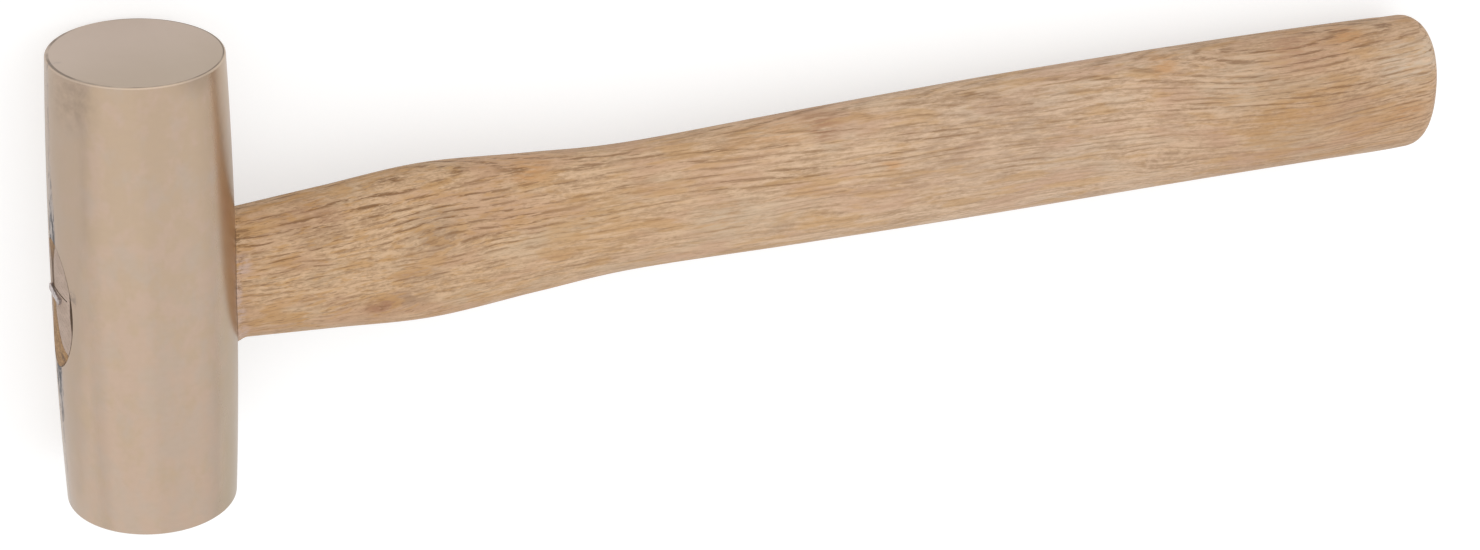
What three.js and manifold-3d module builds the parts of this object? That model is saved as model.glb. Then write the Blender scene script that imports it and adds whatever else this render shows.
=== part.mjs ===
// A club hammer lying on its side, at rest on its barrel head and on the butt of its handle.
// Millimetres. X runs along the handle from the head to the butt, Y runs along the head from face to
// face, and Z is up. The pieces are built round the head's centre and then laid on the ground.
import * as THREE from 'three';
import Module from 'manifold-3d';
import { mergeVertices } from 'three/addons/utils/BufferGeometryUtils.js';

const wasm = await Module();
wasm.setup();

// Head: a solid bronze barrel with two flat round faces
const HEAD_LENGTH = 108;
const BELLY_DIAMETER = 40;
const BELLY_BULGE = 1.15;
const FACE_EDGE_RADIUS = 0.7;

// Eye: the oval hole through the head, widest at its outer mouth, where the wedges spread the tongue
const EYE_HEIGHT = 30.6;
const EYE_WIDTH = 16;
const EYE_TAPER = 0.8;
const EYE_OFFSET = -2;
const EYE_SQUARENESS = 2;

// Fit: the gap left round every piece that is held by another
const FIT_CLEARANCE = 0.3;

// Handle: a soft oval all along, given by its height along Y, its thickness along Z and its distance
// from the side of the head. It stands on the head by a shoulder round the eye.
const HANDLE_LENGTH = 327.8;
const HANDLE_SQUARENESS = 2.25;
const SHOULDER = 0.6;
const SWELL = { from: 46, height: 37.4, thickness: 22 };
const WAIST = { from: 97, height: 31.3, thickness: 20 };
const BUTT = { height: 37, thickness: 22 };
const GRIP_CLIMB = 1.2;
const BUTT_DROP = { depth: 0.5, sharpness: 6 };

// Between two of those sections the oval eases over: how far along, and how much of the change is made
const THROAT_EASE = [{ along: 0.48, share: 0.5 }];
const SWELL_EASE = [{ along: 0.51, share: 0.56 }];
const GRIP_EASE = [{ along: 0.2, share: 0.4 }, { along: 0.45, share: 0.81 }, { along: 0.76, share: 0.97 }];

// Butt: a flat dome with soft corners, leaning back at the top
const BUTT_DOME_LENGTH = 12.9;
const BUTT_FLATNESS = 5.7;
const BUTT_CROWN = 1.6;
const BUTT_SLANT = 0.09;

// Wooden wedge: driven into the saw cut along the eye's height, and flared at both ends of the eye
const WOODEN_WEDGE_DEPTH = 28;
const WOODEN_WEDGE_THICKNESS = 2;
const WOODEN_WEDGE_TIP = 0.8;
const WOODEN_WEDGE_TOP_FLARE = { length: 8, extra: 1.9 };
const WOODEN_WEDGE_BOTTOM_FLARE = { length: 12, extra: 10 };
const SAW_CUT_SPARE = 2;

// Steel wedge: driven across the wooden one, square to the barrel's side at its own middle
const STEEL_WEDGE_DEPTH = 16;
const STEEL_WEDGE_WIDTH = 7;
const STEEL_WEDGE_THICKNESS = 1.5;
const STEEL_WEDGE_TIP = 0.5;
const STEEL_WEDGE_PROUD = 0.5;
const STEEL_WEDGE_SIDE = 2.35;
const STEEL_WEDGE_ABOVE_EYE = 2.8;
const STEEL_WEDGE_ROLL = 9;

// Fineness of the curved surfaces
const HEAD_SEGMENTS = 80;
const BARREL_STEPS = 16;
const EDGE_STEPS = 3;
const OVAL_POINTS = 48;
const HANDLE_RINGS = 42;
const DOME_RINGS = 9;
const WEDGE_STEPS = 28;

const BRONZE = new THREE.MeshStandardMaterial({ color: 0xc4ab90, roughness: 0.34, metalness: 1 });
const HANDLE_WOOD = new THREE.MeshStandardMaterial({ color: 0xcdaa80, roughness: 0.62, metalness: 0 });
const WEDGE_WOOD = new THREE.MeshStandardMaterial({ color: 0x9a7045, roughness: 0.7, metalness: 0 });
const WEDGE_STEEL = new THREE.MeshStandardMaterial({ color: 0xa9a9b2, roughness: 0.4, metalness: 1 });

// Cutting solids reach this far past what they cut, and corners nearer than the weld are one
const OVERREACH = 4;
const WELD = 1e-5;

const bellyRadius = BELLY_DIAMETER / 2;
const beyondHead = bellyRadius + OVERREACH;

// Turns a closed geometry into a solid: shared corners are merged and empty triangles are left out.
function toSolid(geometry) {
  const bare = geometry.clone();
  bare.deleteAttribute('normal');
  bare.deleteAttribute('uv');
  const merged = mergeVertices(bare, WELD);
  const corners = merged.index.array;
  const kept = [];
  for (let i = 0; i < corners.length; i += 3) {
    const [a, b, c] = corners.slice(i, i + 3);
    if (a !== b && b !== c && c !== a) kept.push(a, b, c);
  }
  return new wasm.Manifold(new wasm.Mesh({
    numProp: 3,
    vertProperties: new Float32Array(merged.attributes.position.array),
    triVerts: new Uint32Array(kept),
  }));
}

// Gives a solid back as a named mesh.
function toMesh(name, solid, material) {
  const { vertProperties, triVerts } = solid.getMesh();
  const geometry = new THREE.BufferGeometry();
  geometry.setAttribute('position', new THREE.BufferAttribute(vertProperties, 3));
  geometry.setIndex(new THREE.BufferAttribute(triVerts, 1));
  geometry.computeVertexNormals();
  const mesh = new THREE.Mesh(geometry, material);
  mesh.name = name;
  return mesh;
}

// Skins a row of rings of equal size along X and closes both ends.
// Each ring runs from +Y towards +Z.
function loft(rings) {
  const count = rings[0].length;
  const points = rings.flat();
  const triangles = [];
  for (let ring = 0; ring < rings.length - 1; ring += 1) {
    for (let i = 0; i < count; i += 1) {
      const here = ring * count + i;
      const beside = ring * count + ((i + 1) % count);
      triangles.push(here, beside, here + count, beside, beside + count, here + count);
    }
  }
  const last = (rings.length - 1) * count;
  const ends = [rings[0], rings[rings.length - 1]].map((ring) => middleOf(ring));
  points.push(...ends);
  for (let i = 0; i < count; i += 1) {
    const next = (i + 1) % count;
    triangles.push(points.length - 2, next, i);
    triangles.push(points.length - 1, last + i, last + next);
  }
  const geometry = new THREE.BufferGeometry().setFromPoints(points);
  geometry.setIndex(triangles);
  return geometry;
}

function middleOf(ring) {
  return ring.reduce((sum, point) => sum.add(point), new THREE.Vector3()).divideScalar(ring.length);
}

// One soft oval across X, between an ellipse at squareness 2 and a rectangle.
// The slant leans its upper half back along X.
function ovalRing({ x, y, height, thickness, squareness, slant = 0 }) {
  const soften = (value) => Math.sign(value) * Math.abs(value) ** (2 / squareness);
  const ring = [];
  for (let i = 0; i < OVAL_POINTS; i += 1) {
    const angle = (2 * Math.PI * i) / OVAL_POINTS;
    const up = (height / 2) * soften(Math.cos(angle));
    const out = (thickness / 2) * soften(Math.sin(angle));
    ring.push(new THREE.Vector3(x - slant * up, y + up, out));
  }
  return ring;
}

// The barrel, grown all over by a clearance: its side is a shallow parabola, its edges are rounded.
function barrel(clearance) {
  const half = HEAD_LENGTH / 2 + clearance;
  const edge = FACE_EDGE_RADIUS;
  const sideRadius = (y) => bellyRadius + clearance - BELLY_BULGE * (y / half) ** 2;
  const corner = sideRadius(half - edge) - edge;
  const profile = [new THREE.Vector2(0, -half)];
  for (let step = 0; step < EDGE_STEPS; step += 1) {
    const angle = (Math.PI / 2) * (step / EDGE_STEPS);
    profile.push(new THREE.Vector2(corner + edge * Math.sin(angle), edge - half - edge * Math.cos(angle)));
  }
  for (let step = 0; step <= BARREL_STEPS; step += 1) {
    const y = (half - edge) * ((2 * step) / BARREL_STEPS - 1);
    profile.push(new THREE.Vector2(sideRadius(y), y));
  }
  for (let step = EDGE_STEPS - 1; step >= 0; step -= 1) {
    const angle = (Math.PI / 2) * (step / EDGE_STEPS);
    profile.push(new THREE.Vector2(corner + edge * Math.sin(angle), half - edge + edge * Math.cos(angle)));
  }
  profile.push(new THREE.Vector2(0, half));
  return toSolid(new THREE.LatheGeometry(profile, HEAD_SEGMENTS));
}

// The size of the eye where it crosses the plane at x: it tapers evenly through the belly.
function eyeSize(x) {
  const across = (x + bellyRadius) / BELLY_DIAMETER;
  return { height: EYE_HEIGHT - EYE_TAPER * across, width: EYE_WIDTH - EYE_TAPER * across };
}

// A plug of the eye's shape, made smaller all round by a clearance.
function eyePlug(clearance) {
  const rings = [-beyondHead, beyondHead].map((x) => ovalRing({
    x,
    y: EYE_OFFSET,
    height: eyeSize(x).height - 2 * clearance,
    thickness: eyeSize(x).width - 2 * clearance,
    squareness: EYE_SQUARENESS,
  }));
  return toSolid(loft(rings));
}

// The stations that the handle's outline runs through: x is the distance from the side of the head,
// y the height and z the thickness of the oval there.
function handleStations() {
  const neck = {
    from: 0,
    height: eyeSize(bellyRadius).height + 2 * SHOULDER,
    thickness: eyeSize(bellyRadius).width + 2 * SHOULDER,
  };
  const butt = { from: HANDLE_LENGTH - BUTT_DOME_LENGTH, ...BUTT };
  const point = ({ from, height, thickness }) => new THREE.Vector3(from, height, thickness);
  const ease = (start, end, steps) => steps.map(({ along, share }) => new THREE.Vector3(
    THREE.MathUtils.lerp(start.from, end.from, along),
    THREE.MathUtils.lerp(start.height, end.height, share),
    THREE.MathUtils.lerp(start.thickness, end.thickness, share),
  ));
  return [
    point(neck), ...ease(neck, SWELL, THROAT_EASE),
    point(SWELL), ...ease(SWELL, WAIST, SWELL_EASE),
    point(WAIST), ...ease(WAIST, butt, GRIP_EASE),
    point(butt),
  ];
}

// The sections of the handle outside the head, from a stub inside the head's side to the domed butt.
function handleSections() {
  const stations = handleStations();
  const neck = stations[0];
  const butt = stations[stations.length - 1];
  const outline = new THREE.CatmullRomCurve3(stations, false, 'catmullrom');
  const dip = (along) => (GRIP_CLIMB + BUTT_DROP.depth) * along ** BUTT_DROP.sharpness;
  const lineUp = (along) => EYE_OFFSET + GRIP_CLIMB * along - dip(along);
  const sections = [{ x: bellyRadius / 2, y: EYE_OFFSET, height: neck.y, thickness: neck.z }];
  for (let ring = 0; ring < HANDLE_RINGS; ring += 1) {
    const { x, y, z } = outline.getPoint(ring / HANDLE_RINGS);
    sections.push({ x: bellyRadius + x, y: lineUp(x / butt.x), height: y, thickness: z });
  }
  for (let ring = 0; ring <= DOME_RINGS; ring += 1) {
    const inward = 1 - (ring / (DOME_RINGS + 1)) ** 2;
    const along = (1 - inward ** BUTT_CROWN) ** (1 / BUTT_FLATNESS);
    sections.push({
      x: bellyRadius + butt.x + BUTT_DOME_LENGTH * along,
      y: lineUp(1),
      height: butt.y * inward,
      thickness: butt.z * inward,
      slant: BUTT_SLANT,
    });
  }
  return sections;
}

// Everything outside the barrel on the eye's outer side, where the tongue and wedge are ground flush.
function outsideTheMouth() {
  const depth = beyondHead + OVERREACH;
  const block = new THREE.BoxGeometry(depth, HEAD_LENGTH, 2 * beyondHead);
  block.translate(-depth / 2, 0, 0);
  return toSolid(block).subtract(barrel(0));
}

// The wooden wedge's blank, grown by a clearance: an outline across X that is thinnest near the middle
// of the eye, spreads towards both its ends, and tapers to a straight thin tip.
function woodenWedgeBlank(clearance, spare) {
  const eyeEnd = EYE_HEIGHT / 2;
  const flare = ({ length, extra }, fromEnd) => extra * Math.max(0, 1 - fromEnd / length) ** 2;
  const mouthHalf = (up) => WOODEN_WEDGE_THICKNESS / 2
    + flare(WOODEN_WEDGE_TOP_FLARE, eyeEnd - up)
    + flare(WOODEN_WEDGE_BOTTOM_FLARE, eyeEnd + up);
  const tipHalf = () => WOODEN_WEDGE_TIP / 2;
  const growth = OVERREACH / WOODEN_WEDGE_DEPTH;
  const outerHalf = (up) => mouthHalf(up) + growth * (mouthHalf(up) - tipHalf());
  const ring = (x, half) => {
    const side = [];
    for (let step = 0; step <= WEDGE_STEPS; step += 1) {
      const up = (eyeEnd + OVERREACH) * (1 - (2 * step) / WEDGE_STEPS);
      side.push(new THREE.Vector3(x, EYE_OFFSET + up, half(up) + clearance));
    }
    const mirrored = side.map((point) => point.clone().setZ(-point.z)).reverse();
    return [...side, ...mirrored];
  };
  const tip = WOODEN_WEDGE_DEPTH + spare - bellyRadius;
  return toSolid(loft([ring(-beyondHead, outerHalf), ring(tip, tipHalf)]));
}

// The steel wedge, grown by a clearance: a tapered plate across the wooden wedge.
function steelWedge(clearance) {
  const outline = new THREE.Shape([
    new THREE.Vector2(-STEEL_WEDGE_PROUD - clearance, -STEEL_WEDGE_THICKNESS / 2 - clearance),
    new THREE.Vector2(STEEL_WEDGE_DEPTH + clearance, -STEEL_WEDGE_TIP / 2 - clearance),
    new THREE.Vector2(STEEL_WEDGE_DEPTH + clearance, STEEL_WEDGE_TIP / 2 + clearance),
    new THREE.Vector2(-STEEL_WEDGE_PROUD - clearance, STEEL_WEDGE_THICKNESS / 2 + clearance),
  ]);
  const width = STEEL_WEDGE_WIDTH + 2 * clearance;
  const plate = new THREE.ExtrudeGeometry(outline, { depth: width, bevelEnabled: false });
  plate.translate(0, 0, -width / 2);
  const aroundBarrel = Math.asin(STEEL_WEDGE_SIDE / bellyRadius);
  plate.rotateX(THREE.MathUtils.degToRad(STEEL_WEDGE_ROLL));
  plate.translate(-bellyRadius, 0, 0);
  plate.rotateY(aroundBarrel);
  plate.translate(0, EYE_OFFSET + STEEL_WEDGE_ABOVE_EYE, 0);
  return toSolid(plate);
}

function makeHead() {
  return toMesh('head', barrel(0).subtract(eyePlug(0)), BRONZE);
}

function makeHandle(sections) {
  const rings = sections.map((section) => ovalRing({ squareness: HANDLE_SQUARENESS, ...section }));
  const outside = toSolid(loft(rings)).subtract(barrel(FIT_CLEARANCE));
  const tongue = eyePlug(FIT_CLEARANCE).subtract(outsideTheMouth());
  const sawCut = woodenWedgeBlank(FIT_CLEARANCE, SAW_CUT_SPARE);
  const slotted = outside.add(tongue).subtract(sawCut).subtract(steelWedge(FIT_CLEARANCE));
  return toMesh('handle', slotted, HANDLE_WOOD);
}

function makeWoodenWedge() {
  const fitted = woodenWedgeBlank(0, 0).intersect(eyePlug(FIT_CLEARANCE)).subtract(outsideTheMouth());
  return toMesh('wooden_wedge', fitted.subtract(steelWedge(FIT_CLEARANCE)), WEDGE_WOOD);
}

function makeSteelWedge() {
  return toMesh('steel_wedge', steelWedge(0), WEDGE_STEEL);
}

// The angle at which the handle leans down until it meets the ground that the head lies on.
function droopAngle(sections) {
  const angles = sections.map(({ x, thickness }) => {
    const half = thickness / 2;
    return Math.asin(bellyRadius / Math.hypot(x, half)) - Math.atan2(half, x);
  });
  return Math.min(...angles.slice(1));
}

const sections = handleSections();
const hammer = new THREE.Group();
hammer.add(makeHead(), makeHandle(sections), makeWoodenWedge(), makeSteelWedge());
hammer.rotation.y = droopAngle(sections);

const clubHammer = new THREE.Group();
clubHammer.add(hammer);
clubHammer.updateMatrixWorld(true);
const box = new THREE.Box3().setFromObject(clubHammer, true);
hammer.position.set(-(box.min.x + box.max.x) / 2, -(box.min.y + box.max.y) / 2, -box.min.z);

export default clubHammer;
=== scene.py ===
import math

import bmesh
import bpy
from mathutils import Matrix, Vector, noise


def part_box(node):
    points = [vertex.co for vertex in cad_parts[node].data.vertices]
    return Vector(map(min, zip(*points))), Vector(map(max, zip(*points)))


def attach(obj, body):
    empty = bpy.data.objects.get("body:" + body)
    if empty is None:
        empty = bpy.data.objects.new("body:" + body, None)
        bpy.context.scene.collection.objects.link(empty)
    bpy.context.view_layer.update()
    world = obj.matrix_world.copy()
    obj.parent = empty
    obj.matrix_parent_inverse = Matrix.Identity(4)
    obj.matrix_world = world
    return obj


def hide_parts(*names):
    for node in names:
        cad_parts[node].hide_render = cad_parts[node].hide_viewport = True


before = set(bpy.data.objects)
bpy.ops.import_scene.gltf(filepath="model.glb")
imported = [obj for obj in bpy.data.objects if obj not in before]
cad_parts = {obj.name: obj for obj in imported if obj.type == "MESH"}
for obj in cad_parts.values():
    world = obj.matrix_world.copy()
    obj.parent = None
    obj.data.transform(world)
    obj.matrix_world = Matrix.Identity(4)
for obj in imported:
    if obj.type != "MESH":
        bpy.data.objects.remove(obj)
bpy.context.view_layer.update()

MM = 0.001

# Camera: the place it stands at, the way it is turned, and its lens, found from the photograph's outlines
CAMERA_PLACE = (-0.31231, 0.31860, 0.61739)
CAMERA_TURN = (-28.579, -24.612, 3.274)
CAMERA_LENS = 75.72
CAMERA_FILM = 36.0
CAMERA_NEAREST = 0.01

# Studio: a white room, a little brighter overhead, on the near left and at the back, over a pale floor,
# with one wide soft lamp
WHITE = (1, 1, 1, 1)
ROOM_HORIZON = 0.80
ROOM_OVERHEAD = 0.93
ROOM_RISE = (-0.05, 0.55)
ROOM_BRIGHT_SIDE = (-0.81, -0.55, 0.21)
ROOM_BRIGHT_SPREAD = (0.94, 1.0)
ROOM_BRIGHT_GAIN = 0.07
ROOM_BACK_SPREAD = (0.1, 0.8)
ROOM_BACK_GAIN = 0.22
FLOOR_SIZE = 12.0
FLOOR_SQUARES = 2
FLOOR_COLOUR = (0.56, 0.56, 0.56, 1)
FLOOR_GLOW = 0.57
FLOOR_GLOW_MIRRORED = 0.40
LAMP_PLACE = (-1.0, -0.85, 1.1)
LAMP_AIM = (-0.1, 0, 0)
LAMP_SIZE = 1.6
LAMP_POWER = 0.35

# The hammer leans on the belly of its head and on its butt
DROOP = math.radians(1.5309)

# Head: a barrel, slimmer towards its faces, which have a small rounded edge
HEAD_LENGTH = 108 * MM
BELLY_RADIUS = 19.99 * MM
BELLY_BULGE = 1.15 * MM
FACE_EDGE_RADIUS = 0.45 * MM
FACE_EDGE_STEPS = 5
FACE_EDGE_HOLD = FACE_EDGE_RADIUS * 1.15
FACE_INSET = FACE_EDGE_RADIUS / 4
FACE_SQUARE_ON = 0.999
HEAD_SIDES = 192
HEAD_RINGS = 47

# Eye: oval, and a little wider at its outer mouth
EYE_HEIGHT = 30.6 * MM
EYE_WIDTH = 16 * MM
EYE_TAPER = 0.8 * MM
EYE_OFFSET = -2 * MM
EYE_CHAMFER = 0.12 * MM
EYE_FLARE = EYE_CHAMFER * 3
OVAL_SIDES = 96

# Handle: the distance of each section from the side of the head, its height and its thickness
SHOULDER = 0.6 * MM
HANDLE_LENGTH = 327.78 * MM
HANDLE_SQUARENESS = 2.25
SWELL = (46 * MM, 37.4 * MM, 22 * MM)
WAIST = (97 * MM, 31.3 * MM, 20 * MM)
BUTT_SIZE = (37 * MM, 21.92 * MM)
DOME_LENGTH = 12.9 * MM
DOME_FLATNESS = 5.7
DOME_CROWN = 1.6
DOME_SLANT = 0.09
DOME_RINGS = 14
DOME_END_INSET = 1 / 6
GRIP_CLIMB = 1.2 * MM
BUTT_DROP = 0.5 * MM
BUTT_DROP_SHARPNESS = 6
HANDLE_SIDES = 72
HANDLE_RINGS = 96
NECK_STUB = 4 * MM
NECK_FIRST_RING = 3 * MM
NECK_RINGS = 14
NECK_RING_STEP = 0.4 * MM

# Stops between two sections: a share of the way, and the share of the change that is made by there
THROAT_EASE = ((0.48, 0.5),)
SWELL_EASE = ((0.51, 0.56),)
GRIP_EASE = ((0.2, 0.4), (0.45, 0.81), (0.76, 0.97))

# The lip of wood that the neck's shoulder turned up as the head was driven on
LIP_LENGTH = 1.6 * MM
LIP_BELOW = 0.95 * MM
LIP_BELOW_SHARPNESS = 6
LIP_ALL_ROUND = 0.16 * MM
LIP_UNEVENNESS = 0.6
LIP_RIPPLES_PER_METRE = 700

# Fit of the tongue and wedges: tight and ground flush, but for a sliver beside the tongue's near half
TIGHT = 0.05 * MM
SNUG = 0.09 * MM
SUNK = 0.02 * MM
SLIVER = {"middle": -1.8 * MM, "half_length": 6 * MM, "width": 0.66 * MM}

# Wooden wedge: half its thickness at the eye's mouth, from the top of the eye to the bottom
WEDGE_HALVES = (
    (15.3 * MM, 2.3 * MM),
    (13.4 * MM, 1.7 * MM),
    (10.8 * MM, 0.85 * MM),
    (8.0 * MM, 0.6 * MM),
    (3.0 * MM, 0.75 * MM),
    (-2.0 * MM, 1.15 * MM),
    (-6.1 * MM, 2.2 * MM),
    (-8.6 * MM, 3.4 * MM),
    (-9.8 * MM, 4.7 * MM),
    (-10.8 * MM, 6.6 * MM),
    (-13.0 * MM, 9.0 * MM),
    (-15.3 * MM, 10.5 * MM),
)
WEDGE_TIP = 0.8 * MM
WEDGE_DEPTH = 28 * MM
WEDGE_ROWS = 60
WEDGE_TALLER = 8 * MM
SAW_CUT_DEEPER = 2 * MM

# Steel wedge, and the crack that it opened in the wood above it
STEEL_DEPTH = 16 * MM
STEEL_WIDTH = 5.5 * MM
STEEL_THICKNESS = 1.7 * MM
STEEL_NEAR_END = 0.72
STEEL_TIP = 0.5 * MM
STEEL_PROUD = 0.6 * MM
STEEL_SIDE = 1.6 * MM
STEEL_ABOVE_EYE = 3.05 * MM
STEEL_ROLL = math.radians(14)
STEEL_EDGE = 0.16 * MM
STEEL_EDGE_STEPS = 3
STEEL_BATTERED = 2 * MM
STEEL_SPREAD = (0.16, 0.03)
STEEL_DENT = 0.10 * MM
STEEL_DENT_ASIDE = 0.4
STEEL_DENTS_PER_METRE = 1100
STEEL_CUTS = 11
CRACK_LENGTH = 7.4 * MM
CRACK_WIDTH = 0.5 * MM
CRACK_DEPTH = 6 * MM
CRACK_FOOT = (0.2, 0.8)
CRACK_SIDE = 3.3 * MM
CRACK_ABOVE_EYE = 3.85 * MM
CRACK_ROLL = math.radians(11.8)

# Cutting tools reach beyond the head's side, and corners nearer than a speck are one
BEYOND = 24 * MM
DRAWN_OUT = 1.5
SPECK = 0.003 * MM
TOUCHING = MM / 100

# Edges sharper than this stay sharp in the shading
BRONZE_CREASE = math.radians(30)
CREASE = math.radians(35)

head_low, head_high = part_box("head")
HEAD_CENTRE = (head_low + head_high) / 2


# Making shapes


def named(name):
    """The object just added, under its own name, in edit mode and with nothing selected."""
    piece = bpy.context.object
    piece.name = name
    piece.data.name = name
    bpy.ops.object.transform_apply(location=True, rotation=True, scale=True)
    bpy.ops.object.mode_set(mode="EDIT")
    bpy.ops.mesh.select_all(action="DESELECT")
    return piece


def done():
    """Leaves edit mode with the faces turned outwards."""
    bpy.ops.mesh.select_mode(type="FACE")
    bpy.ops.mesh.select_all(action="SELECT")
    bpy.ops.mesh.normals_make_consistent(inside=False)
    bpy.ops.object.mode_set(mode="OBJECT")


def pick(kind, test):
    """Selects the vertices, edges or faces that pass a test, and nothing else."""
    bpy.ops.mesh.select_mode(type=kind)
    bpy.ops.mesh.select_all(action="DESELECT")
    mesh = bpy.context.object.data
    shape = bmesh.from_edit_mesh(mesh)
    for part in {"VERT": shape.verts, "EDGE": shape.edges, "FACE": shape.faces}[kind]:
        part.select_set(bool(test(part)))
    shape.select_flush_mode()
    bmesh.update_edit_mesh(mesh)


def reshape(move):
    """Moves every vertex of the piece in edit mode to where move puts it."""
    mesh = bpy.context.object.data
    shape = bmesh.from_edit_mesh(mesh)
    for vertex in shape.verts:
        vertex.co = move(vertex.co)
    bmesh.update_edit_mesh(mesh)


def resize(factors, centre):
    bpy.ops.transform.resize(value=factors, center_override=centre)


def extrude(step):
    bpy.ops.mesh.extrude_region_move(TRANSFORM_OT_translate={"value": step})


def disc(name, sides, middle):
    """A flat disc of radius 1, square to the handle and selected, to be sized and drawn out."""
    turn = (0, math.pi / 2, 0)
    bpy.ops.mesh.primitive_circle_add(
        vertices=sides, radius=1, fill_type="NGON", location=middle, rotation=turn
    )
    piece = named(name)
    bpy.ops.mesh.select_all(action="SELECT")
    return piece


def combine(piece, tool, how="DIFFERENCE"):
    """Cuts a piece by a tool, keeps what both share, or joins them, and throws the tool away."""
    joint = piece.modifiers.new("fit", "BOOLEAN")
    joint.operation = how
    joint.solver = "MANIFOLD"
    joint.object = tool
    bpy.context.view_layer.objects.active = piece
    bpy.ops.object.modifier_apply(modifier=joint.name)
    bpy.data.objects.remove(tool)


def finish(piece, crease):
    """Cleans up after the cuts, takes off the flaps left where a wall thinner than a speck closed up,
    smooths the shading up to a crease, and turns the piece, which was made round the head's centre, into
    its place in the lying hammer."""
    bpy.ops.object.select_all(action="DESELECT")
    piece.select_set(True)
    bpy.context.view_layer.objects.active = piece
    bpy.ops.object.mode_set(mode="EDIT")
    bpy.ops.mesh.select_all(action="SELECT")
    bpy.ops.mesh.remove_doubles(threshold=SPECK)
    pick("FACE", lambda face: len(face.verts) > 4)
    bpy.ops.mesh.quads_convert_to_tris()
    pick("FACE", lambda face: sum(edge.is_boundary for edge in face.edges) > 1)
    bpy.ops.mesh.delete(type="FACE")
    bpy.ops.object.mode_set(mode="OBJECT")
    bpy.ops.object.shade_smooth_by_angle(angle=crease)
    piece.rotation_euler = (0, DROOP, 0)
    piece.location = HEAD_CENTRE
    bpy.ops.object.transform_apply(location=True, rotation=True, scale=True)


def barrel_radius(y):
    return BELLY_RADIUS - BELLY_BULGE * (2 * y / HEAD_LENGTH) ** 2


def barrel_side(y, z):
    """How far the barrel's side lies from the middle plane at this height and thickness."""
    return math.sqrt(max(0.0, barrel_radius(y) ** 2 - z**2))


def barrel(name, growth=0.0):
    """The head's solid barrel, or a thicker one to cut with."""
    bpy.ops.mesh.primitive_cylinder_add(
        vertices=HEAD_SIDES,
        radius=BELLY_RADIUS + growth,
        depth=HEAD_LENGTH,
        rotation=(math.pi / 2, 0, 0),
    )
    piece = named(name)
    pick("EDGE", lambda edge: edge.calc_length() > HEAD_LENGTH / 2)
    bpy.ops.mesh.subdivide(number_cuts=HEAD_RINGS)
    step = HEAD_LENGTH / (HEAD_RINGS + 1)
    for ring in range(HEAD_RINGS + 2):
        y = ring * step - HEAD_LENGTH / 2
        pick("VERT", lambda vertex: abs(vertex.co.y - y) < step / 4)
        share = (barrel_radius(y) + growth) / (BELLY_RADIUS + growth)
        resize((share, 1, share), (0, y, 0))
    return piece


def eye_half(x):
    """Half the eye's height and half its width where it crosses the plane at x."""
    taper = EYE_TAPER * (x + BELLY_RADIUS) / (2 * BELLY_RADIUS)
    return (EYE_HEIGHT - taper) / 2, (EYE_WIDTH - taper) / 2


def eye_plug(name, gap):
    """A plug of the eye's shape, slimmer all round by a gap."""
    piece = disc(name, OVAL_SIDES, (-BEYOND, EYE_OFFSET, 0))
    height, width = (half - gap for half in eye_half(-BEYOND))
    resize((1, height, width), (-BEYOND, EYE_OFFSET, 0))
    extrude((BEYOND * 2, 0, 0))
    high, wide = (half - gap for half in eye_half(BEYOND))
    resize((1, high / height, wide / width), (BEYOND, EYE_OFFSET, 0))
    return piece


# The head


def eye_cutter():
    """The eye's own plug with a chamfer at its mouth that follows the barrel's side. Its four rows are
    drawn out a millimetre apart, and then each settles in its place."""
    height, width = eye_half(-BELLY_RADIUS)
    piece = disc("eye_cutter", OVAL_SIDES, (-BEYOND, 0, 0))
    resize((1, height + EYE_FLARE, width + EYE_FLARE), (-BEYOND, 0, 0))
    extrude((MM, 0, 0))
    extrude((MM, 0, 0))
    resize((1, height / (height + EYE_FLARE), width / (width + EYE_FLARE)), (0, 0, 0))
    extrude((MM, 0, 0))
    high, wide = eye_half(BEYOND)
    resize((1, high / height, wide / width), (0, 0, 0))

    def settle(place):
        row = round((place.x + BEYOND) / MM)
        y = place.y + EYE_OFFSET
        side = barrel_side(y, place.z)
        x = (-BEYOND, -side - EYE_FLARE + EYE_CHAMFER, -side + EYE_CHAMFER, BEYOND)[row]
        return Vector((x, y, place.z))

    reshape(settle)
    done()
    return piece


def make_head():
    head = barrel("bronze_head")
    half = HEAD_LENGTH / 2
    for side in (-1, 1):
        bpy.ops.mesh.select_all(action="SELECT")
        hold = side * (half - FACE_EDGE_HOLD)
        bpy.ops.mesh.bisect(plane_co=(0, hold, 0), plane_no=(0, 1, 0))
    pick("EDGE", lambda edge: all(abs(abs(vertex.co.y) - half) < TOUCHING for vertex in edge.verts))
    bpy.ops.mesh.bevel(offset=FACE_EDGE_RADIUS, segments=FACE_EDGE_STEPS, affect="EDGES")
    pick("FACE", lambda face: abs(face.normal.y) > FACE_SQUARE_ON)
    bpy.ops.mesh.inset(thickness=FACE_INSET)
    done()
    combine(head, eye_cutter())
    finish(head, BRONZE_CREASE)
    return head


# The handle


def soften(value, squareness):
    return math.copysign(abs(value) ** (2 / squareness), value)


def between(start, end, stops):
    """Stations that ease over from one section of the handle to the next."""
    return [
        (
            start[0] + along * (end[0] - start[0]),
            start[1] + share * (end[1] - start[1]),
            start[2] + share * (end[2] - start[2]),
        )
        for along, share in stops
    ]


def handle_stations():
    height, width = eye_half(BELLY_RADIUS)
    neck = (0.0, 2 * height + 2 * SHOULDER, 2 * width + 2 * SHOULDER)
    butt = (HANDLE_LENGTH - DOME_LENGTH, *BUTT_SIZE)
    return [
        neck,
        *between(neck, SWELL, THROAT_EASE),
        SWELL,
        *between(SWELL, WAIST, SWELL_EASE),
        WAIST,
        *between(WAIST, butt, GRIP_EASE),
        butt,
    ]


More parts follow.
